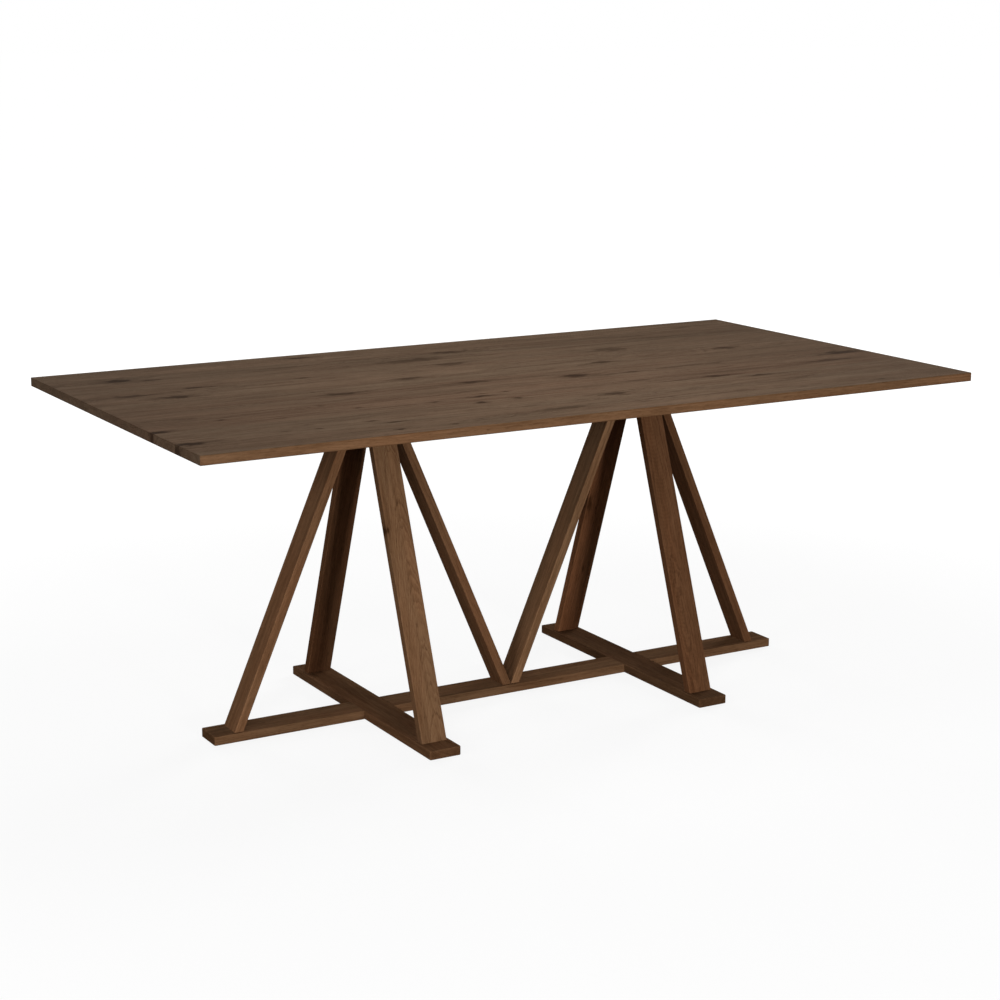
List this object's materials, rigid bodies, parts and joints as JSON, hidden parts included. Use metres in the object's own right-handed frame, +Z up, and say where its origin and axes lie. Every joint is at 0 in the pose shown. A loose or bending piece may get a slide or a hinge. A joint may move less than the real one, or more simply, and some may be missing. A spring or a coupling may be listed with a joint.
{
  "type": "trestle dining table",
  "caption": "Rectangular dining table in dark oak: a thin boarded top on splayed trestle legs that stand on a long floor rail and half-lapped cross feet.",
  "frame": {"origin": "on the floor under the middle of the table", "axes": "+X along the table to the right, +Y to the back, +Z up"},
  "size_m": [1.9, 1, 0.75],
  "materials": {
    "top_oak": "dark stained oak with knots, matt oiled",
    "base_oak": "dark stained oak, matt oiled",
    "dowel_beech": "raw beech",
    "screw_steel": "zinc plated",
    "pad_felt": "pressed felt"
  },
  "bodies": {
    "root": {"tabletop_board_1": "top_oak", "tabletop_board_2": "top_oak", "tabletop_board_3": "top_oak", "tabletop_board_4": "top_oak", "tabletop_board_5": "top_oak", "tabletop_board_6": "top_oak", "tabletop_board_7": "top_oak", "tabletop_board_8": "top_oak", "floor_rail": "base_oak", "left_cross_foot": "base_oak", "right_cross_foot": "base_oak", "left_outer_leg": "base_oak", "left_inner_leg": "base_oak", "left_front_leg": "base_oak", "left_back_leg": "base_oak", "right_outer_leg": "base_oak", "right_inner_leg": "base_oak", "right_front_leg": "base_oak", "right_back_leg": "base_oak", "left_bearer": "base_oak", "right_bearer": "base_oak", "left_cleat": "base_oak", "right_cleat": "base_oak", "foot_dowels": "dowel_beech", "head_dowels": "dowel_beech", "foot_screws": "screw_steel", "head_screws": "screw_steel", "base_lap_screws": "screw_steel", "head_lap_screws": "screw_steel", "top_bolts": "screw_steel", "top_washers": "screw_steel", "top_inserts": "screw_steel", "felt_pads": "pad_felt"}
  },
  "joints": []
}
